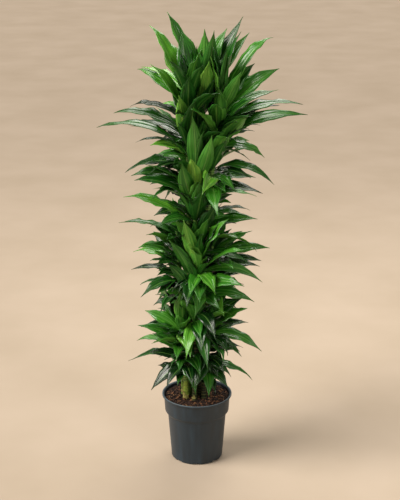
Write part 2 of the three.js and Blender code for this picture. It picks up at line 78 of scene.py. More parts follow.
def startMaterial(name, **settings):
    material = bpy.data.materials.new(name)
    material.use_nodes = True
    tree = material.node_tree
    shader = tree.nodes["Principled BSDF"]
    for socket, value in settings.items():
        shader.inputs[socket.replace("_", " ")].default_value = value
    return material, tree, shader


def finishMaterial(material, tree, shader, colour, gloss, bump):
    tree.links.new(colour, shader.inputs["Base Color"])
    tree.links.new(gloss.outputs[0], shader.inputs["Roughness"])
    tree.links.new(bump.outputs[0], shader.inputs["Normal"])
    return material


# Turns a finished bmesh into a piece of the plant that rides on the root body.
def keepPiece(bm, name, finishes, replaces=(), crease=40):
    mesh = bpy.data.meshes.new(name)
    bm.to_mesh(mesh)
    bm.free()
    for finish in finishes:
        mesh.materials.append(finish)
    mesh.polygons.foreach_set("use_smooth", [True] * len(mesh.polygons))
    mesh.set_sharp_from_angle(angle=math.radians(crease))
    piece = bpy.data.objects.new(name, mesh)
    scene.collection.objects.link(piece)
    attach(piece, "root")
    if replaces:
        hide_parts(*replaces)
    return piece


# Extrudes a ring of edges, and gives the corners and the edges of the new ring.
def extrudeRing(bm, edges):
    grown = bmesh.ops.extrude_edge_only(bm, edges=edges)["geom"]
    verts = [g for g in grown if isinstance(g, bmesh.types.BMVert)]
    known = set(verts)
    return verts, [g for g in grown if isinstance(g, bmesh.types.BMEdge)
                   and g.verts[0] in known and g.verts[1] in known]


# A closed tube, ring by ring: each has its middle, its radius, how far its edge tilts up and down,
# the side where it tilts up, and its tone.
def growTube(bm, rings, sides, toneLayer):
    verts = bmesh.ops.create_circle(bm, cap_ends=True, segments=sides, radius=1)["verts"]
    turn = {v: math.atan2(v.co.y, v.co.x) for v in verts}
    edges = list({e for v in verts for e in v.link_edges})
    for i, (middle, radius, tilt, lean, tone) in enumerate(rings):
        if i:
            verts, edges = extrudeRing(bm, edges)
            turn = {v: math.atan2(v.co.y - last.y, v.co.x - last.x) for v in verts}
        for v in verts:
            angle = turn[v]
            v.co = middle + Vector((radius * math.cos(angle), radius * math.sin(angle),
                                    tilt * math.cos(angle - lean)))
            v[toneLayer] = tone
        last = middle
    bmesh.ops.contextual_create(bm, geom=edges)


# A flat strip to be bent, with its UV map: gives each corner's place across it, from -1 to 1, and
# along it, from 0 to 1.
def flatStrip(bm, form, uvLayer, index):
    made = bmesh.ops.create_grid(bm, x_segments=form["across"], y_segments=form["along"], size=1)
    spots = {v: (v.co.x, (v.co.y + 1) / 2) for v in made["verts"]}
    for face in {f for v in spots for f in v.link_faces}:
        for loop in face.loops:
            u, s = spots[loop.vert]
            loop[uvLayer].uv = ((1 + u) / 2, index + s)
    return spots


# The line of the midrib on a leaf 60 mm wide: at its strongest to 0.7 mm from the middle, and gone
# at 3 mm.
def midribLine(tree, place, strength):
    parts = addNode(tree, "ShaderNodeSeparateXYZ", None, {0: place.outputs["UV"]})
    aside = addNode(tree, "ShaderNodeMath", {"operation": "SUBTRACT", 1: 0.5},
                    {0: parts.outputs["X"]})
    fromRib = addNode(tree, "ShaderNodeMath", {"operation": "ABSOLUTE"}, {0: aside.outputs[0]})
    return addNode(tree, "ShaderNodeMapRange", {"From Min": 0.012, "From Max": 0.05,
                                                "To Min": strength, "To Max": 0.0},
                   {"Value": fromRib.outputs[0]})


# Living corn plant leaf, upper face: a smooth waxy skin over parallel veins, so it is deep green
# with a clear soft shine that breaks up along lengthwise pleats.
def leafUpperMaterial():
    material, tree, shader = startMaterial("cornPlantLeafUpper", IOR=1.5,
                                           Coat_Weight=0.14, Coat_Roughness=0.3)
    place = addNode(tree, "ShaderNodeUVMap", {"uv_map": "alongLeaf"})
    # the blade's tone: lowered on inner blades as painted shade, raised to lime on a few as partly
    # painted light
    tone = addNode(tree, "ShaderNodeAttribute", {"attribute_name": "leafTone"})
    # 60 mm across and 250 mm long: the streaks between veins are drawn 6 mm wide so that they show
    stretch = addNode(tree, "ShaderNodeMapping", {"Scale": (10, 1.3, 1)},
                      {"Vector": place.outputs["UV"]})
    streaks = addNode(tree, "ShaderNodeTexNoise",
                      {"Scale": 1.0, "Detail": 3.0, "Roughness": 0.6},
                      {"Vector": stretch.outputs[0]})
    shade = addNode(tree, "ShaderNodeMath", {"operation": "MULTIPLY_ADD", 1: 0.95, 2: -0.47},
                    {0: streaks.outputs["Fac"]})
    mixed = addNode(tree, "ShaderNodeMath", {"operation": "ADD", "use_clamp": True},
                    {0: tone.outputs["Fac"], 1: shade.outputs[0]})
    greens = addNode(tree, "ShaderNodeValToRGB", {"stops": [
        (0.0, "#082408"), (0.3, "#15430f"), (0.55, "#2f7219"), (0.8, "#5ea32e"),
        (1.0, "#97c850")]}, {"Fac": mixed.outputs[0]})
    # the midrib is a paler groove, 2 mm wide on the plant and 4 mm here so that it shows
    ribLine = midribLine(tree, place, 0.5)
    colour = addNode(tree, "ShaderNodeMix", {"data_type": "RGBA", 7: linear("#6fa04a")},
                     {0: ribLine.outputs[0], 6: greens.outputs["Color"]})
    gloss = addNode(tree, "ShaderNodeMapRange", {"From Min": 0.3, "From Max": 0.7,
                                                 "To Min": 0.16, "To Max": 0.32},
                    {"Value": streaks.outputs["Fac"]})
    # pleats 10 mm apart, and the veins between them drawn 4 mm apart so that they show
    pleats = addNode(tree, "ShaderNodeTexWave",
                     {"Scale": 1.9, "Distortion": 1.2, "Detail": 1.0, "Detail Scale": 1.0},
                     {"Vector": place.outputs["UV"]})
    veins = addNode(tree, "ShaderNodeTexWave", {"Scale": 4.7, "Distortion": 0.4},
                    {"Vector": place.outputs["UV"]})
    relief = addNode(tree, "ShaderNodeMath", {"operation": "MULTIPLY_ADD", 1: 0.2},
                     {0: veins.outputs["Fac"], 2: pleats.outputs["Fac"]})
    bump = addNode(tree, "ShaderNodeBump", {"Strength": 0.6, "Distance": 0.8 * mm},
                   {"Height": relief.outputs[0]})
    return finishMaterial(material, tree, shader, colour.outputs[2], gloss, bump)


# Living corn plant leaf, underside: no wax shine, breathing pores and raised veins, so it is a
# paler, greyer green and much more matte.
def leafUnderMaterial():
    material, tree, shader = startMaterial("cornPlantLeafUnder", IOR=1.4)
    place = addNode(tree, "ShaderNodeUVMap", {"uv_map": "alongLeaf"})
    # the blade's tone: lowered on inner blades as painted shade, raised to lime on a few as partly
    # painted light
    tone = addNode(tree, "ShaderNodeAttribute", {"attribute_name": "leafTone"})
    # streaks drawn 7 mm wide so that they show
    stretch = addNode(tree, "ShaderNodeMapping", {"Scale": (9, 1.2, 1)},
                      {"Vector": place.outputs["UV"]})
    streaks = addNode(tree, "ShaderNodeTexNoise", {"Scale": 1.0, "Detail": 2.0},
                      {"Vector": stretch.outputs[0]})
    shade = addNode(tree, "ShaderNodeMath", {"operation": "MULTIPLY_ADD", 1: 1.0, 2: -0.45},
                    {0: streaks.outputs["Fac"]})
    mixed = addNode(tree, "ShaderNodeMath", {"operation": "ADD", "use_clamp": True},
                    {0: tone.outputs["Fac"], 1: shade.outputs[0]})
    greens = addNode(tree, "ShaderNodeValToRGB", {"stops": [
        (0.0, "#0d340c"), (0.35, "#265f1d"), (0.7, "#529233"), (1.0, "#8cc04a")]},
        {"Fac": mixed.outputs[0]})
    # the midrib stands out as a pale ridge, 3 mm wide and 4 mm here so that it shows
    ribLine = midribLine(tree, place, 0.35)
    colour = addNode(tree, "ShaderNodeMix", {"data_type": "RGBA", 7: linear("#8ab45c")},
                     {0: ribLine.outputs[0], 6: greens.outputs["Color"]})
    gloss = addNode(tree, "ShaderNodeMapRange", {"To Min": 0.26, "To Max": 0.42},
                    {"Value": streaks.outputs["Fac"]})
    # the undersides of the pleats, 10 mm apart
    veins = addNode(tree, "ShaderNodeTexWave", {"Scale": 1.9, "Distortion": 1.2},
                    {"Vector": place.outputs["UV"]})
    bump = addNode(tree, "ShaderNodeBump", {"Strength": 0.8, "Distance": 1 * mm},
                   {"Height": veins.outputs["Fac"]})
    return finishMaterial(material, tree, shader, colour.outputs[2], gloss, bump)


# Green shoot of a corn plant, wrapped in the feet of its leaves: a satin skin, pale at each foot
# and green between.
def sheathMaterial():
    material, tree, shader = startMaterial("cornPlantSheath", IOR=1.45)
    where = addNode(tree, "ShaderNodeTexCoord")
    # blotches 11 mm across
    blotches = addNode(tree, "ShaderNodeTexNoise", {"Scale": 90.0, "Detail": 3.0},
                       {"Vector": where.outputs["Object"]})
    ring = addNode(tree, "ShaderNodeAttribute", {"attribute_name": "ringTone"})
    mixed = addNode(tree, "ShaderNodeMath",
                    {"operation": "MULTIPLY_ADD", 1: 0.5, "use_clamp": True},
                    {0: blotches.outputs["Fac"], 2: ring.outputs["Fac"]})
    greens = addNode(tree, "ShaderNodeValToRGB", {"stops": [
        (0.15, "#2c5a1e"), (0.5, "#5b8a35"), (0.85, "#9db766")]}, {"Fac": mixed.outputs[0]})
    gloss = addNode(tree, "ShaderNodeMapRange", {"To Min": 0.35, "To Max": 0.55},
                    {"Value": blotches.outputs["Fac"]})
    bump = addNode(tree, "ShaderNodeBump", {"Strength": 0.4, "Distance": 0.4 * mm},
                   {"Height": blotches.outputs["Fac"]})
    return finishMaterial(material, tree, shader, greens.outputs["Color"], gloss, bump)


# Bark of a bare corn plant cane: thin, satin and ring scarred, with corky tan scars where leaves
# fell; yellow green on the canes at the left as painted light, dark olive on the others as painted
# shade.
def barkMaterial():
    material, tree, shader = startMaterial("cornPlantBark", IOR=1.45)
    where = addNode(tree, "ShaderNodeTexCoord")
    # each cane's tone: high on the canes at the left as painted light, low on the others as painted
    # shade
    tone = addNode(tree, "ShaderNodeAttribute", {"attribute_name": "caneTone"})
    ring = addNode(tree, "ShaderNodeAttribute", {"attribute_name": "ringTone"})
    # upright grain 2 mm wide and 20 mm long
    stretch = addNode(tree, "ShaderNodeMapping", {"Scale": (500, 500, 50)},
                      {"Vector": where.outputs["Object"]})
    grain = addNode(tree, "ShaderNodeTexNoise", {"Scale": 1.0, "Detail": 3.0},
                    {"Vector": stretch.outputs[0]})
    # lighter and darker patches 22 mm across
    patches = addNode(tree, "ShaderNodeTexNoise", {"Scale": 45.0, "Detail": 2.0},
                      {"Vector": where.outputs["Object"]})
    shade = addNode(tree, "ShaderNodeMath", {"operation": "MULTIPLY_ADD", 1: 0.6, 2: -0.3},
                    {0: patches.outputs["Fac"]})
    grained = addNode(tree, "ShaderNodeMath", {"operation": "MULTIPLY_ADD", 1: 0.3},
                      {0: grain.outputs["Fac"], 2: shade.outputs[0]})
    mixed = addNode(tree, "ShaderNodeMath", {"operation": "ADD", "use_clamp": True},
                    {0: tone.outputs["Fac"], 1: grained.outputs[0]})
    greens = addNode(tree, "ShaderNodeValToRGB", {"stops": [
        (0.1, "#0f150a"), (0.4, "#232e12"), (0.7, "#5f8426"), (1.0, "#a9c650")]},
        {"Fac": mixed.outputs[0]})
    colour = addNode(tree, "ShaderNodeMix", {"data_type": "RGBA", 7: linear("#7d7846")},
                     {0: ring.outputs["Fac"], 6: greens.outputs["Color"]})
    gloss = addNode(tree, "ShaderNodeMapRange", {"To Min": 0.45, "To Max": 0.75},
                    {"Value": grain.outputs["Fac"]})
    bump = addNode(tree, "ShaderNodeBump", {"Strength": 0.5, "Distance": 0.5 * mm},
                   {"Height": grain.outputs["Fac"]})
    return finishMaterial(material, tree, shader, colour.outputs[2], gloss, bump)


# Peat potting mix, damp and crumbly: near black brown, fully matte, darker in the grooves between
# crumbs.
def peatMaterial():
    material, tree, shader = startMaterial("peatPottingMix", IOR=1.4)
    where = addNode(tree, "ShaderNodeTexCoord")
    # crumbs of 5 mm, with dust of 2.4 mm on them
    crumbs = addNode(tree, "ShaderNodeTexVoronoi", {"Scale": 210.0},
                     {"Vector": where.outputs["Object"]})
    dust = addNode(tree, "ShaderNodeTexNoise", {"Scale": 420.0, "Detail": 4.0},
                   {"Vector": where.outputs["Object"]})
    mixed = addNode(tree, "ShaderNodeMath", {"operation": "MULTIPLY"},
                    {0: crumbs.outputs["Distance"], 1: dust.outputs["Fac"]})
    browns = addNode(tree, "ShaderNodeValToRGB", {"stops": [
        (0.0, "#4a3022"), (0.25, "#291a13"), (0.6, "#120b08")]}, {"Fac": mixed.outputs[0]})
    gloss = addNode(tree, "ShaderNodeMapRange", {"To Min": 0.8, "To Max": 0.98},
                    {"Value": dust.outputs["Fac"]})
    bump = addNode(tree, "ShaderNodeBump", {"Strength": 0.8, "Distance": 1.5 * mm,
                                            "invert": True},
                   {"Height": mixed.outputs[0]})
    return finishMaterial(material, tree, shader, browns.outputs["Color"], gloss, bump)


# Crumbs, bark chips and coir of the mix: dry plant fibre, matte, from near black to orange brown.
def crumbMaterial():
    material, tree, shader = startMaterial("barkAndCoirCrumbs", IOR=1.4)
    where = addNode(tree, "ShaderNodeTexCoord")
    tone = addNode(tree, "ShaderNodeAttribute", {"attribute_name": "crumbTone"})
    # fibres 1.4 mm apart
    fibre = addNode(tree, "ShaderNodeTexNoise", {"Scale": 700.0, "Detail": 3.0},
                    {"Vector": where.outputs["Object"]})
    mixed = addNode(tree, "ShaderNodeMath",
                    {"operation": "MULTIPLY_ADD", 1: 0.3, "use_clamp": True},
                    {0: fibre.outputs["Fac"], 2: tone.outputs["Fac"]})
    browns = addNode(tree, "ShaderNodeValToRGB", {"stops": [
        (0.15, "#0f0907"), (0.4, "#22150f"), (0.65, "#452a1c"), (0.85, "#805638"),
        (1.0, "#c29668")]}, {"Fac": mixed.outputs[0]})
    gloss = addNode(tree, "ShaderNodeMapRange", {"To Min": 0.7, "To Max": 0.95},
                    {"Value": fibre.outputs["Fac"]})
    bump = addNode(tree, "ShaderNodeBump", {"Strength": 0.6, "Distance": 0.5 * mm},
                   {"Height": fibre.outputs["Fac"]})
    return finishMaterial(material, tree, shader, browns.outputs["Color"], gloss, bump)


# Dry leaf foot left on the cane: papery straw, matte, buff with darker streaks along it.
def strawMaterial():
    material, tree, shader = startMaterial("dryLeafStraw", IOR=1.45)
    place = addNode(tree, "ShaderNodeUVMap", {"uv_map": "alongLeaf"})
    # 20 mm across and 40 mm long: streaks 2 mm wide
    stretch = addNode(tree, "ShaderNodeMapping", {"Scale": (9, 1.5, 1)},
                      {"Vector": place.outputs["UV"]})
    streaks = addNode(tree, "ShaderNodeTexNoise", {"Scale": 1.0, "Detail": 3.0},
                      {"Vector": stretch.outputs[0]})
    tans = addNode(tree, "ShaderNodeValToRGB", {"stops": [
        (0.3, "#75703a"), (0.5, "#a8a254"), (0.7, "#dcd38f")]}, {"Fac": streaks.outputs["Fac"]})
    gloss = addNode(tree, "ShaderNodeMapRange", {"To Min": 0.6, "To Max": 0.85},
                    {"Value": streaks.outputs["Fac"]})
    bump = addNode(tree, "ShaderNodeBump", {"Strength": 0.5, "Distance": 0.4 * mm},
                   {"Height": streaks.outputs["Fac"]})
    return finishMaterial(material, tree, shader, tans.outputs["Color"], gloss, bump)


# Injection moulded polypropylene, anthracite: a satin skin with a fine spark-eroded grain, and a
# painted highlight in pale blue grey along the top of the lip.
def potMaterial():
    material, tree, shader = startMaterial("mouldedPolypropylene", IOR=1.49)
    where = addNode(tree, "ShaderNodeTexCoord")
    # grain of 0.8 mm, drawn 2 mm coarse so that it shows
    grain = addNode(tree, "ShaderNodeTexNoise", {"Scale": 500.0, "Detail": 2.0},
                    {"Vector": where.outputs["Object"]})
    # flow marks that run down the wall from the gate, 25 mm wide
    stretch = addNode(tree, "ShaderNodeMapping", {"Scale": (40, 40, 5)},
                      {"Vector": where.outputs["Object"]})
    flow = addNode(tree, "ShaderNodeTexNoise", {"Scale": 1.0, "Detail": 4.0},
                   {"Vector": stretch.outputs[0]})
    greys = addNode(tree, "ShaderNodeValToRGB", {"stops": [
        (0.3, "#18242c"), (0.55, "#1f2e38"), (0.8, "#283a46")]}, {"Fac": flow.outputs["Fac"]})
    parts = addNode(tree, "ShaderNodeSeparateXYZ", None, {0: where.outputs["Object"]})
    # painted highlight: from 262.5 mm up to the top, the lip is blended towards pale blue grey
    lipHighlight = addNode(tree, "ShaderNodeMapRange", {"From Min": 262.5 * mm, "From Max": 265 * mm,
                                                  "To Max": 0.45}, {"Value": parts.outputs["Z"]})
    colour = addNode(tree, "ShaderNodeMix", {"data_type": "RGBA", 7: linear("#7d8c94")},
                     {0: lipHighlight.outputs[0], 6: greys.outputs["Color"]})
    gloss = addNode(tree, "ShaderNodeMapRange", {"To Min": 0.38, "To Max": 0.58},
                    {"Value": flow.outputs["Fac"]})
    bump = addNode(tree, "ShaderNodeBump", {"Strength": 0.25, "Distance": 0.15 * mm},
                   {"Height": grain.outputs["Fac"]})
    return finishMaterial(material, tree, shader, colour.outputs[2], gloss, bump)


leafUpper, leafUnder = leafUpperMaterial(), leafUnderMaterial()
sheath, bark, straw = sheathMaterial(), barkMaterial(), strawMaterial()
peat, crumbFinish, potFinish = peatMaterial(), crumbMaterial(), potMaterial()
print("materials made")

# the nursery pot
pot = {
    "rimRadius": 135 * mm, "height": 265 * mm, "footRadius": 99 * mm, "wall": 2.6 * mm,
    "lipHeight": 8 * mm, "bandTop": 128 * mm, "bandFoot": 124 * mm, "bandBottom": 196 * mm,
    "stepBottom": 182 * mm, "lowerWall": 113 * mm, "floor": 4 * mm,
    "footIn": 3 * mm, "footOut": 0.5 * mm, "footUp": 4 * mm,  # the slanted edge round the foot
    "lipSlant": 1 * mm, "lipEdge": 0.5 * mm,  # slant under it and inside, and drop of its edge
    "lipFlat": 3 * mm, "lipInside": 5 * mm, "lipDrop": 4 * mm,  # in from the rim, and down inside
    "innerRise": 1 * mm,  # how far the steps inside stand above those outside
    "rounding": 1.4 * mm, "turns": 144, "merge": 0.01 * mm,
    "slots": 8, "slotWidth": 27 * mm, "slotHeight": 6 * mm, "slotDepth": 16 * mm,
    "slotRounding": 1.2 * mm,
}


def makePot():
    foot, wall, top = pot["footRadius"], pot["wall"], pot["height"]
    lip, rim, rise = top - pot["lipHeight"], pot["rimRadius"], pot["innerRise"]
    outer = [(foot - pot["footIn"], 0), (foot + pot["footOut"], pot["footUp"]),
             (pot["lowerWall"], pot["stepBottom"]),
             (pot["bandFoot"], pot["bandBottom"]), (pot["bandTop"], lip),
             (rim, lip + pot["lipSlant"]), (rim, top - pot["lipEdge"])]
    inner = [(rim - pot["lipFlat"], top), (rim - pot["lipInside"], top - pot["lipSlant"]),
             (pot["bandTop"] - wall, top - pot["lipDrop"]),
             (pot["bandFoot"] - wall, pot["bandBottom"] + rise),
             (pot["lowerWall"] - wall, pot["stepBottom"] + rise),
             (foot - wall, pot["floor"])]
    bm = bmesh.new()
    profile = [bm.verts.new((r, 0, z)) for r, z in [(0, 0), *outer, *inner, (0, pot["floor"])]]
    for one, other in zip(profile, profile[1:]):
        bm.edges.new((one, other))
    bmesh.ops.bevel(bm, geom=profile[2:-2], affect="VERTICES", offset=pot["rounding"],
                    offset_type="OFFSET", segments=3, profile=0.5, material=-1,
                    clamp_overlap=True)
    bmesh.ops.spin(bm, geom=bm.verts[:] + bm.edges[:], axis=(0, 0, 1), cent=(0, 0, 0),
                   angle=2 * math.pi, steps=pot["turns"], use_merge=True)
    bmesh.ops.remove_doubles(bm, verts=bm.verts, dist=pot["merge"])
    bmesh.ops.recalc_face_normals(bm, faces=bm.faces)
    piece = keepPiece(bm, "nurseryPot", [potFinish], ["pot"], crease=50)

    # the drain slots round the foot are cut with one set of boxes
    cutter = bmesh.new()
    slotSize = (2 * pot["slotDepth"], pot["slotWidth"], 2 * pot["slotHeight"], 1)
    for i in range(pot["slots"]):
        turn = -math.pi / 2 + 2 * math.pi * i / pot["slots"]
        bmesh.ops.create_cube(cutter, size=1, matrix=Matrix.Rotation(turn, 4, "Z")
                              @ Matrix.Translation((foot, 0, 0)) @ Matrix.Diagonal(slotSize))
    bmesh.ops.bevel(cutter, geom=cutter.edges[:], affect="EDGES", offset=pot["slotRounding"],
                    offset_type="OFFSET", segments=2, profile=0.5, material=-1)
    cutMesh = bpy.data.meshes.new("slotCutter")
    cutter.to_mesh(cutMesh)
    cutter.free()
    cutObject = bpy.data.objects.new("slotCutter", cutMesh)
    scene.collection.objects.link(cutObject)
    cut = piece.modifiers.new("drainSlots", "BOOLEAN")
    cut.operation, cut.solver, cut.object = "DIFFERENCE", "EXACT", cutObject
    bpy.context.view_layer.update()
    finished = bpy.data.meshes.new_from_object(
        piece.evaluated_get(bpy.context.evaluated_depsgraph_get()))
    piece.modifiers.clear()
    piece.data = finished
    bpy.data.objects.remove(cutObject)


makePot()
print("pot made")


# The middle and radius of each level ring of corners of a cane's solid, from the foot up.
def caneRings(node):
    levels = {}
    for v in node.data.vertices:
        levels.setdefault(round(v.co.z / mm), []).append(v.co)
    rings = []
    for level in sorted(levels):
        points = levels[level]
        middle = sum(points, Vector()) / len(points)
        rings.append((middle, sum((p - middle).length for p in points) / len(points)))
    return rings


# How a blade's solid is laid out: the shares of its length where it has a ring of four corners,
# the fold of its halves and the waves of its edges.
bladeSolid = {
    "far": 0.76, "near": 0.46, "fold": math.radians(14), "waveHeight": 0.07,
    "waves": 2 * math.pi * 2.3, "rightLag": 1.9,
    "rootRoll": 0.4, "addedRoll": 0.6,  # shares of the roll, at the root and from there to the tip
    "merge": 0.02 * mm,  # corners nearer than this are one
    "slack": 1 * mm,  # how far the curve's crown may be out of the middle, seen from above
}


def rollShare(s):
    return bladeSolid["rootRoll"] + bladeSolid["addedRoll"] * s


# The middle of a blade at a share s of its length, and the directions along it, across it and out
# of its upper face.
def bladeFrame(blade, s):
    root, crown, tip = blade["root"], blade["crown"], blade["tip"]
    point = root * (1 - s) ** 2 + crown * (2 * s * (1 - s)) + tip * s ** 2
    along = ((crown - root) * (1 - s) + (tip - crown) * s).normalized()
    across = Vector((-math.sin(blade["heading"]), math.cos(blade["heading"]), 0))
    up = along.cross(across)
    roll = blade["roll"] * rollShare(s)
    side = across * math.cos(roll) + up * math.sin(roll)
    out = up * math.cos(roll) - across * math.sin(roll)
    return point, along, side, out


# Finds the blades of a head in its solid. A tip is a corner that four faces share, with two edge
# corners and two midrib corners next to it, and the same four again further down the blade. That
# holds for 310 of the 311 blades that the source places: leaves_tall_right has one more.
def readBlades(node):
    bm = bmesh.new()
    bm.from_mesh(node.data)
    bmesh.ops.remove_doubles(bm, verts=bm.verts, dist=bladeSolid["merge"])
    neighbours = {v: [e.other_vert(v) for e in v.link_edges] for v in bm.verts}
    blades = []
    for tip in bm.verts:
        farEdges = [v for v in neighbours[tip] if len(neighbours[v]) == 4]
        farRibs = [v for v in neighbours[tip] if len(neighbours[v]) == 6]
        if len(neighbours[tip]) != 4 or len(farEdges) != 2 or len(farRibs) != 2:
            continue
        known = {tip, *farEdges, *farRibs}
        nearEdges = [w for v in farEdges for w in neighbours[v] if w not in known]
        nearRibs = [w for v in farRibs for w in neighbours[v]
                    if w not in known and w not in nearEdges]
        if len(nearEdges) != 2 or len(nearRibs) != 2:
            continue
        blade = fitBlade(tip.co.copy(), [v.co.copy() for v in farEdges + farRibs],
                         [v.co.copy() for v in nearEdges + nearRibs])
        if blade:
            blades.append(blade)
    bm.free()
    return sorted(blades, key=lambda b: (round(b["root"].z, 4), round(b["heading"], 3)))


# The curve, width, roll and waves that a blade's tip and its two rings of corners show. A ring is
# its two edge corners and its two midrib corners.
def fitBlade(tip, far, near):
    (a, b), (c, d) = [((1 - s) ** 2, 2 * s * (1 - s))
                      for s in (bladeSolid["far"], bladeSolid["near"])]
    farLeft = (far[2] + far[3]) / 2 - tip * bladeSolid["far"] ** 2
    nearLeft = (near[2] + near[3]) / 2 - tip * bladeSolid["near"] ** 2
    size = a * d - c * b
    blade = {"tip": tip, "root": (farLeft * d - nearLeft * b) / size,
             "crown": (nearLeft * a - farLeft * c) / size, "roll": 0.0}
    run = tip - blade["root"]
    if ((blade["root"] + tip) / 2 - blade["crown"]).to_2d().length > bladeSolid["slack"]:
        return None  # no blade's curve, but corners that only look like one
    blade["heading"] = math.atan2(run.y, run.x)
    rolls, waves = [], []
    for s, ring in ((bladeSolid["far"], far), (bladeSolid["near"], near)):
        middle = (ring[2] + ring[3]) / 2
        _, along, across, up = bladeFrame(blade, s)
        out = (ring[2] - ring[3]).normalized()
        if out.dot((ring[0] + ring[1]) / 2 - middle) < 0:
            out.negate()
        side = out.cross(along).normalized()
        rolls.append(math.atan2(side.dot(up), side.dot(across)) / rollShare(s))
        left, right = sorted((ring[0], ring[1]), key=lambda p: -(p - middle).dot(side))
        width = (left - right).dot(side) / math.cos(bladeSolid["fold"])
        waves += [(s, 0.0, (left - middle).dot(out), width),
                  (s, bladeSolid["rightLag"], (right - middle).dot(out), width)]
    blade["width"], blade["roll"] = waves[-1][3], sum(rolls) / 2
    sines = []
    for s, lag, lift, width in waves:
        height = bladeSolid["waveHeight"] * blade["width"] * math.sin(math.pi * s)
        angle = bladeSolid["waves"] * s + lag
        value = (lift - width / 2 * math.sin(bladeSolid["fold"])) / height
        sines.append((math.sin(angle), math.cos(angle), value))
    ss, sc, cc = [sum(x[i] * x[j] for x in sines) for i, j in ((0, 0), (0, 1), (1, 1))]
    sy, cy = [sum(x[i] * x[2] for x in sines) for i in (0, 1)]
    spread = ss * cc - sc * sc
    blade["phase"] = math.atan2((cy * ss - sy * sc) / spread, (sy * cc - cy * sc) / spread)
    return blade


shoots = {}
for name in sorted(nodes):
    if name.startswith("leaves_"):
        key = name[len("leaves_"):]
        shoots[key] = {"blades": readBlades(nodes[name]), "rings": caneRings(nodes["cane_" + key])}
print("blades read:", sum(len(s["blades"]) for s in shoots.values()))


# The name of a piece from a solid's name: tall_left gives TallLeft.
def titled(key):
    return "".join(word.capitalize() for word in key.split("_"))


leaf = {
    "along": 14, "across": 4, "thickness": 0.9 * mm, "widen": 1.07,
    "peak": (1.3, 1.6),  # how fast the outline swells from the root and runs out to the tip
    "neck": 0.2, "neckEnd": 0.35,  # width of the clasping foot, of the widest, and where it ends
    "tipWidth": 0.012, "tipAt": 0.999,  # least width, and where on the curve the tip lies
    "fold": 20, "neckFold": 30,  # degrees that each half stands up, and more at the foot
    "foldEnd": 0.3,  # where along the blade the foot's steeper fold has opened
    "arching": 0.07,  # how far each half bulges between midrib and edge, of its width
    "ripple": 0.06, "ripples": (3.4, 5.2),  # small waves of the edge over the large ones
    "twist": 32, "twistPower": 1.5,  # degrees that a tip turns by at the most, and how late
    "sway": 0.035, "tipCurl": 0.06,  # sideways bow and hooked tip, of the blade's length
    "curls": (-0.3, 1), "hookFrom": 0.75,  # from a little up to fully down, and where it starts
    # short inner blades: how many to those of the solid, their size and width to their models',
    # how far they are turned aside and rolled, in degrees, and how far they shift, in mm
    "innerShare": 1.0, "innerSize": (0.5, 0.8), "innerWidth": (0.42, 0.72),
    "innerTurn": (20, 75), "innerRoll": 38, "innerShift": 12,
    "innerWidest": 36 * mm, "innerLowest": 290 * mm,  # lowest: that such a tip may hang
    # tones from 0, darkest, to 1, palest: at the foot of a head, added up to its top, the spread
    # of single leaves, the palest, and what an inner blade keeps of its own tone as painted shade
    "tone": 0.24, "toneRise": 0.26, "toneSpread": 0.19, "tonePalest": 0.58, "innerTone": 0.7,
    # the lime blades at the front, pale as fresh leaves are and partly painted light glowing
    # through them: mm to the right and mm high of their middles
    "lime": [(-95, 1455), (-55, 1350), (40, 1480), (-140, 1035), (-26, 526), (45, 800),
             (150, 587), (-95, 1560)],
    "limeReach": 36 * mm,  # how near to such a place a blade's middle lies
    "limeCrown": 1500,  # places above this, in mm, count for leaves that lean back too
    "limeTone": (0.62, 0.82), "strayLime": 0.04,  # and the share of the others that are lime too
}


def outline(s):
    rise, fall = leaf["peak"]
    peak = rise / (rise + fall)
    shape = (s / peak) ** rise * ((1 - s) / (1 - peak)) ** fall if 0 < s < 1 else 0.0
    neck = leaf["neck"] * clamp(1 - s / leaf["neckEnd"])
    return max(shape, neck, leaf["tipWidth"])


anyAngle = (0, 6.28)  # radians, about a full turn


# Short blades that fill a head from inside, each after one of the solid's that is turned aside.
def innerBlades(blades, draw):
    added = []
    for _ in range(round(len(blades) * leaf["innerShare"])):
        model = draw.choice(blades)
        turn = draw.choice((-1, 1)) * math.radians(draw.uniform(*leaf["innerTurn"]))
        size = draw.uniform(*leaf["innerSize"])
        shift = draw.uniform(-leaf["innerShift"], leaf["innerShift"]) * mm
        root = model["root"] + Vector((0, 0, shift))
        turned = Matrix.Rotation(turn, 3, "Z") @ (model["tip"] - model["root"]) * size
        crown = Matrix.Rotation(turn, 3, "Z") @ (model["crown"] - model["root"]) * size
        if (root + turned).z < leaf["innerLowest"]:
            continue
        added.append({"root": root, "tip": root + turned, "crown": root + crown,
                      "heading": model["heading"] + turn, "phase": draw.uniform(*anyAngle),
                      "roll": math.radians(draw.uniform(-leaf["innerRoll"], leaf["innerRoll"])),
                      "width": min(model["width"] * draw.uniform(*leaf["innerWidth"]),
                                   leaf["innerWidest"]), "inner": True})
    return added


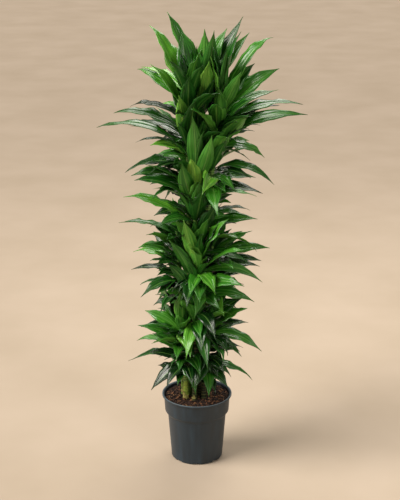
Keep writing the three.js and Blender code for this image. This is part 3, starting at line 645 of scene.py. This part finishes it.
# Bends a flat strip into one blade: the same curve, width, roll and waves as its solid, finer.
def growBlade(bm, blade, index, draw, layers):
    uvLayer, toneLayer = layers
    length = (blade["tip"] - blade["root"]).length
    curl = draw.uniform(*leaf["curls"]) * leaf["tipCurl"] * length
    sway = draw.uniform(-1, 1) * leaf["sway"] * length
    twist = math.radians(draw.uniform(-1, 1) * leaf["twist"])
    ripples, start = draw.uniform(*leaf["ripples"]), draw.uniform(0, 2 * math.pi)
    for v, (right, s) in flatStrip(bm, leaf, uvLayer, index).items():
        u = -right
        point, _, side, out = bladeFrame(blade, clamp(s, 0.0, leaf["tipAt"]))
        turned = twist * s ** leaf["twistPower"]
        side, out = (side * math.cos(turned) + out * math.sin(turned),
                     out * math.cos(turned) - side * math.sin(turned))
        half = leaf["widen"] * blade["width"] / 2 * outline(s)
        fold = math.radians(leaf["fold"] + leaf["neckFold"] * clamp(1 - s / leaf["foldEnd"]) ** 2)
        span = abs(u)
        lag = 0 if u > 0 else bladeSolid["rightLag"]
        swell = math.sin(math.pi * s) * blade["width"] * span ** 2
        wave = swell * bladeSolid["waveHeight"] * math.sin(
            bladeSolid["waves"] * s + blade["phase"] + lag)
        wave += swell * leaf["ripple"] * math.sin(2 * math.pi * ripples * s + start + lag)
        bulge = leaf["arching"] * half * math.sin(math.pi * span)
        hook = curl * clamp((s - leaf["hookFrom"]) / (1 - leaf["hookFrom"])) ** 2
        v.co = (point + side * (u * half * math.cos(fold) + sway * math.sin(math.pi * s))
                + out * (half * math.sin(fold) * span + bulge + wave - hook))
        v[toneLayer] = blade["tone"]


# Whether a blade is one of the lime ones: its middle is the point half way along its curve.
def isLime(blade):
    middle = (blade["root"] + 2 * blade["crown"] + blade["tip"]) / 4
    leansBack = blade["tip"].y > blade["root"].y
    return any(math.hypot(middle.x - x * mm, middle.z - z * mm) < leaf["limeReach"]
               for x, z in leaf["lime"] if z > leaf["limeCrown"] or not leansBack)


def makeLeaves(key, shoot, draw):
    blades = shoot["blades"] + innerBlades(shoot["blades"], draw)
    low, high = shoot["blades"][0]["root"].z, shoot["blades"][-1]["root"].z
    bm = bmesh.new()
    layers = (bm.loops.layers.uv.new("alongLeaf"), bm.verts.layers.float.new("leafTone"))
    for index, blade in enumerate(blades):
        share = clamp((blade["root"].z - low) / (high - low))
        # young leaves at the growing tip are fresher, and a few are bright lime, partly fresh
        # colour and partly painted light glowing through them
        blade["tone"] = clamp(leaf["tone"] + leaf["toneRise"] * share
                              + draw.gauss(0, leaf["toneSpread"]), 0, leaf["tonePalest"])
        # inner blades are darkened as painted shade
        if blade.get("inner"):
            blade["tone"] *= leaf["innerTone"]
        # lime tone: partly fresh leaf colour, partly painted light glowing through the leaf
        elif isLime(blade) or draw.random() < leaf["strayLime"]:
            blade["tone"] = draw.uniform(*leaf["limeTone"])
        growBlade(bm, blade, index, draw, layers)
    piece = keepPiece(bm, "leaves" + titled(key), [leafUpper, leafUnder],
                      ["leaves_" + key], crease=180)
    shell = piece.modifiers.new("bladeThickness", "SOLIDIFY")
    shell.thickness, shell.offset, shell.material_offset = leaf["thickness"], -1, 1


# The green shoot of a head. Each leaf foot on it is a few rings: how far up the foot one is, how
# far it stands out, as a share of the step, and its tone.
shootForm = {
    "foot": 9 * mm, "tip": 4.5 * mm, "sides": 14,
    "gap": 0.3 * mm, "above": 6 * mm,  # over the cane, and how far it goes past its last blade
    "spacing": 9 * mm, "uneven": (0.75, 1.25), "step": 0.9 * mm, "tilt": 1.6 * mm,
    "rings": ((0, 0, 0.45), (0.15, 1, 0.5), (0.9, 0.25, 0.05)),
}
# The bare cane. Each leaf scar on it is a few rings, given in the same way.
caneForm = {
    "soil": 253 * mm, "sides": 16,
    "below": 12 * mm, "bareTop": 6 * mm,  # where the scars start in the mix and end at the top
    "spacing": 12.5 * mm, "uneven": (0.7, 1.3), "scar": 0.7 * mm, "tilt": 0.9 * mm,
    "rings": ((0.0, 0.1, 0.0), (0.12, 1.0, 0.75), (0.24, 0.9, 0.6), (0.4, 0.0, 0.05)),
    "scarTones": (0.5, 1),
    "lump": 0.25 * mm, "lumpScale": 60,  # uneven girth, 17 mm long
    # pale tones of the canes at the left are painted light; the dark tones drawn for all others are
    # painted shade
    "tones": {"low_left": 0.8, "half_left": 0.6, "tall_left": 0.5}, "otherTones": (0.05, 0.25),
}
stemOverrun = 0.5  # how far a stem runs on past its end points, of the last stretch


# The middle of a stem at a height, from points up it.
def middleAt(points, z):
    for one, other in zip(points, points[1:]):
        if z <= other.z:
            break
    return one.lerp(other, clamp((z - one.z) / max(other.z - one.z, 1e-6),
                                 -stemOverrun, 1 + stemOverrun))


def makeShoot(key, shoot, draw):
    foot = shoot["rings"][-1][0]
    points = [foot, *(b["root"] for b in shoot["blades"])]
    top = points[-1].z + shootForm["above"]
    bm = bmesh.new()
    toneLayer = bm.verts.layers.float.new("ringTone")
    rings = []
    z = foot.z + shootForm["gap"]
    while z < top:
        share = (z - foot.z) / (top - foot.z)
        radius = between(shootForm["foot"], shootForm["tip"], share ** 2)
        lean = draw.uniform(0, 2 * math.pi)
        step = shootForm["spacing"] * draw.uniform(*shootForm["uneven"])
        for rise, swell, tone in shootForm["rings"]:
            level = z + step * rise
            middle = middleAt(points, level)
            middle.z = level
            rings.append((middle, radius + swell * shootForm["step"], shootForm["tilt"], lean,
                          tone))
        z += step
    growTube(bm, rings, shootForm["sides"], toneLayer)
    keepPiece(bm, "shoot" + titled(key), [sheath], crease=60)


def makeCane(key, shoot, tone, draw):
    rings = shoot["rings"]
    points = [middle for middle, _ in rings]
    high, footRadius, topRadius = points[-1].z, rings[0][1], rings[-1][1]
    bm = bmesh.new()
    toneLayer = bm.verts.layers.float.new("ringTone")
    caneLayer = bm.verts.layers.float.new("caneTone")
    levels = [(points[0], footRadius, 0.0, 0.0, 0.0)]
    z = caneForm["soil"] - caneForm["below"]
    while z < high - caneForm["bareTop"]:
        share = clamp((z - caneForm["soil"]) / (high - caneForm["soil"]))
        radius = between(footRadius, topRadius, share)
        step = caneForm["spacing"] * draw.uniform(*caneForm["uneven"])
        lean = draw.uniform(0, 2 * math.pi)
        for rise, swell, scar in caneForm["rings"]:
            level = min(z + step * rise, high)
            middle = middleAt(points, level)
            middle.z = level
            wobble = caneForm["lump"] * noise.noise(middle * caneForm["lumpScale"])
            levels.append((middle, radius + swell * caneForm["scar"] + wobble, caneForm["tilt"],
                           lean, scar * draw.uniform(*caneForm["scarTones"])))
        z += step
    levels.append((points[-1], topRadius, 0.0, 0.0, 0.0))
    growTube(bm, levels, caneForm["sides"], toneLayer)
    # every corner carries the cane's tone of painted light and shade
    for v in bm.verts:
        v[caneLayer] = tone
    keepPiece(bm, "cane" + titled(key), [bark], ["cane_" + key], crease=60)


# Papery feet of fallen leaves that still hang on the canes: the cane, the height of the foot, its
# turn round the cane in degrees, its length and its width.
drySheath = {
    "along": 6, "across": 4, "thickness": 0.5 * mm, "off": 1 * mm,  # off the cane's foot radius
    "flare": 7 * mm, "flares": (0.3, 1),  # how far the top stands off, and the shares of it
    "narrowing": 0.75, "narrowPower": 1.6, "slant": 0.25,  # slant: radians at the top
    "crumple": 0.8 * mm, "ragged": 2.5 * mm,  # waves of the face and of the torn top
    "strips": [
        ("tall_right", 900, -95, 52, 22), ("tall_right", 918, -50, 44, 20),
        ("tall_right", 934, -120, 40, 18), ("tall_right", 950, -75, 38, 20),
        ("middle_front", 625, -100, 46, 22), ("middle_front", 642, -60, 40, 20),
        ("tall_left", 632, -80, 44, 20), ("tall_left", 655, -110, 36, 18),
        ("tall_left", 600, -60, 36, 18), ("middle_front", 660, -120, 36, 18),
        ("low_left", 256, -100, 20, 20), ("low_left", 254, -50, 18, 16),
        ("low_left", 268, -130, 22, 18), ("half_left", 262, -90, 30, 20),
        ("half_front", 258, -110, 18, 16),
    ],
}


def makeDrySheaths(draw):
    bm = bmesh.new()
    uvLayer = bm.loops.layers.uv.new("alongLeaf")
    for index, (key, foot, turn, length, width) in enumerate(drySheath["strips"]):
        rings = shoots[key]["rings"]
        radius = rings[0][1] + drySheath["off"]
        flare = drySheath["flare"] * draw.uniform(*drySheath["flares"])
        start = draw.uniform(*anyAngle)
        for v, (u, s) in flatStrip(bm, drySheath, uvLayer, index).items():
            level = (foot + s * length) * mm
            middle = middleAt([m for m, _ in rings], level)
            taper = 1 - drySheath["narrowing"] * s ** drySheath["narrowPower"]
            half = width / 2 * mm * taper / radius
            angle = math.radians(turn) + u * half + drySheath["slant"] * s * math.sin(start)
            crumple = drySheath["crumple"] * math.sin(start + 5 * s + 3 * u)
            reach = radius + flare * s ** 2 + crumple
            v.co = (middle.x + reach * math.cos(angle), middle.y + reach * math.sin(angle),
                    level + drySheath["ragged"] * math.sin(start + 4 * u) * s)
    piece = keepPiece(bm, "drySheaths", [straw], crease=180)
    shell = piece.modifiers.new("paperThickness", "SOLIDIFY")
    shell.thickness, shell.offset = drySheath["thickness"], 1


seeds = {"heads": 4207, "drySheaths": 53, "crumbs": 811}  # other numbers draw another plant
draw = random.Random(seeds["heads"])
for key, shoot in shoots.items():
    makeLeaves(key, shoot, draw)
    makeShoot(key, shoot, draw)
    # a cane that is not listed gets a dark tone as painted shade
    shade = draw.uniform(*caneForm["otherTones"])
    makeCane(key, shoot, caneForm["tones"].get(key, shade), draw)
makeDrySheaths(random.Random(seeds["drySheaths"]))
print("leaves, shoots, canes and dry sheaths made")

mix = {
    "radius": 122.3 * mm, "level": caneForm["soil"], "relief": 1.6 * mm, "lumps": 1.8 * mm,
    "lumpWidth": 15, "rings": 24, "sides": 96, "ringShare": 0.97,
    # radius and height of the rings down the wall, at the step of the pot and at its floor
    "wall": ((121 * mm, 196 * mm + 1.6 * mm), (110 * mm, 183.6 * mm), (95.9 * mm, 4.4 * mm)),
    "crumbs": 1900, "largest": 5.6 * mm, "smallest": 1.6 * mm, "sizePower": 2.2,
    "edgeGap": 3 * mm, "caneGap": 13 * mm,  # kept free at the wall and round each cane's middle
    "uneven": (0.75, 1.2), "tipping": 0.35, "lift": (-0.1, 0.35),  # of its middle, to its size
    # what a grain is, from each share up: crumb, bark chip or dry coir
    "grains": [
        {"from": 0, "stretch": (1, 0.8, 0.7), "tone": (0.0, 0.35)},
        {"from": 0.62, "stretch": (1.5, 0.9, 0.5), "tone": (0.3, 0.75)},
        {"from": 0.92, "stretch": (2.6, 0.35, 0.35), "tone": (0.6, 0.95), "largest": 2.6 * mm},
    ],
}


# The height of the mix at a place: three crossing ripples, and lumps.
def mixHeight(x, y):
    a, b = x / mm, y / mm
    ripple = (math.sin(a * 0.11 + 1.3) * math.cos(b * 0.13 - 0.4)
              + 0.6 * math.sin(a * 0.21 - b * 0.17) + 0.4 * math.cos(a * 0.05 + b * 0.31))
    lump = noise.noise((a / mix["lumpWidth"], b / mix["lumpWidth"], 0))
    return mix["level"] + mix["relief"] * ripple + mix["lumps"] * lump


def makeMix():
    bm = bmesh.new()
    bmesh.ops.create_circle(bm, cap_ends=True, segments=mix["sides"], radius=mix["radius"])
    bm.faces.ensure_lookup_table()
    top = bm.faces[0]
    for _ in range(mix["rings"]):
        bmesh.ops.inset_individual(bm, faces=[top], use_even_offset=True,
                                   thickness=mix["radius"] / mix["rings"] * mix["ringShare"])
    for v in bm.verts:
        v.co.z = mixHeight(v.co.x, v.co.y)
    rim = [e for e in bm.edges if e.is_boundary]
    for radius, z in mix["wall"]:
        verts, rim = extrudeRing(bm, rim)
        for v in verts:
            flat = v.co.to_2d().normalized() * radius
            v.co = (flat.x, flat.y, z)
    bmesh.ops.contextual_create(bm, geom=rim)
    bmesh.ops.recalc_face_normals(bm, faces=bm.faces)
    keepPiece(bm, "pottingMix", [peat], ["potting_mix"])


# Loose crumbs, bark chips and coir on the mix, each an uneven twenty-sided grain half sunk in it.
def makeCrumbs(draw):
    feet = [shoot["rings"][0][0].to_2d() for shoot in shoots.values()]
    bm = bmesh.new()
    toneLayer = bm.verts.layers.float.new("crumbTone")
    placed = 0
    while placed < mix["crumbs"]:
        angle, reach = draw.uniform(0, 2 * math.pi), math.sqrt(draw.random())
        spot = Vector((math.cos(angle), math.sin(angle))) * reach * (mix["radius"] - mix["edgeGap"])
        if min((spot - f).length for f in feet) < mix["caneGap"]:
            continue
        kind = draw.random()
        size = between(mix["smallest"], mix["largest"], draw.random() ** mix["sizePower"])
        for form in mix["grains"]:
            if kind >= form["from"]:
                stretch, tone = form["stretch"], draw.uniform(*form["tone"])
                size = min(size, form.get("largest", size))
        made = bmesh.ops.create_icosphere(bm, subdivisions=1, radius=size)["verts"]
        for v in made:
            v.co *= draw.uniform(*mix["uneven"])
            v[toneLayer] = tone
        bmesh.ops.scale(bm, verts=made, vec=stretch)
        spin = Vector((0, 0, 1)).rotation_difference(
            Vector((draw.gauss(0, mix["tipping"]), draw.gauss(0, mix["tipping"]), 1)))
        turned = spin.to_matrix().to_4x4() @ Matrix.Rotation(
            draw.uniform(0, 2 * math.pi), 4, "Z")
        bmesh.ops.rotate(bm, verts=made, cent=(0, 0, 0), matrix=turned)
        height = mixHeight(*spot) + size * draw.uniform(*mix["lift"])
        bmesh.ops.translate(bm, verts=made, vec=(spot.x, spot.y, height))
        placed += 1
    keepPiece(bm, "mixCrumbs", [crumbFinish], crease=20)


makeMix()
makeCrumbs(random.Random(seeds["crumbs"]))
print("potting mix made")

ground = {"halfSize": 30, "tints": [(0.3, "#b1a18d"), (0.7, "#baaa97")]}


# Plain floor, matte and pale, so that the pot stands on something: two near tones in clouds of
# 500 mm.
def floorMaterial():
    material, tree, shader = startMaterial("plainFloor", IOR=1.45, Roughness=0.85)
    where = addNode(tree, "ShaderNodeTexCoord")
    cloud = addNode(tree, "ShaderNodeTexNoise", {"Scale": 2.0, "Detail": 3.0},
                    {"Vector": where.outputs["Object"]})
    tint = addNode(tree, "ShaderNodeValToRGB", {"stops": ground["tints"]},
                   {"Fac": cloud.outputs["Fac"]})
    tree.links.new(tint.outputs["Color"], shader.inputs["Base Color"])
    return material


def makeFloor():
    bm = bmesh.new()
    bmesh.ops.create_grid(bm, x_segments=1, y_segments=1, size=ground["halfSize"])
    mesh = bpy.data.meshes.new("floor")
    bm.to_mesh(mesh)
    bm.free()
    mesh.materials.append(floorMaterial())
    floor = bpy.data.objects.new("floor", mesh)
    scene.collection.objects.link(floor)


makeFloor()

# sunlight from the left and two soft lamps: places in metres, size in metres or, for the sun, the
# angle that softens its shadows
light = {
    "key": {"kind": "SUN", "at": (-2.7, -1.0, 2.5), "aim": (0, 0, 0), "size": math.radians(42),
            "power": 4.5, "tint": "#fff8f0"},
    "fill": {"kind": "AREA", "at": (2.6, -3.2, 2.4), "aim": (0, 0, 0.9), "size": 1.2, "power": 40,
             "tint": "#fdf8f2"},
    "top": {"kind": "AREA", "at": (0.4, 1.7, 3.6), "aim": (0, 0, 1.0), "size": 1.8, "power": 70,
            "tint": "#fffaf2"},
}
for name, form in light.items():
    lamp = bpy.data.lights.new(name, form["kind"])
    setattr(lamp, "angle" if form["kind"] == "SUN" else "size", form["size"])
    lamp.energy, lamp.color = form["power"], linear(form["tint"])[:3]
    lampObject = bpy.data.objects.new(name, lamp)
    lampObject.location = form["at"]
    aim = Vector(form["aim"]) - Vector(form["at"])
    lampObject.rotation_euler = aim.to_track_quat("-Z", "Y").to_euler()
    scene.collection.objects.link(lampObject)

room = {"tint": "#f3ece3", "strength": 0.3}
world = bpy.data.worlds.new("paleRoom")
world.use_nodes = True
backdrop = world.node_tree.nodes["Background"].inputs
backdrop["Color"].default_value = linear(room["tint"])
backdrop["Strength"].default_value = room["strength"]
scene.world = world
scene.view_settings.view_transform = "Standard"

# the photograph's view: metres, degrees below level, then mm of lens and sensor, and metres
view = {"at": (0.012, -4.5, 2.344), "down": 18.39, "lens": 91.04, "sensor": 36, "reach": 100}
cameraData = bpy.data.cameras.new("photoView")
cameraData.lens, cameraData.sensor_width = view["lens"], view["sensor"]
cameraData.clip_end = view["reach"]
camera = bpy.data.objects.new("photoView", cameraData)
camera.location = view["at"]
camera.rotation_euler = (math.radians(90 - view["down"]), 0, 0)
scene.collection.objects.link(camera)
scene.camera = camera
print("stage set")
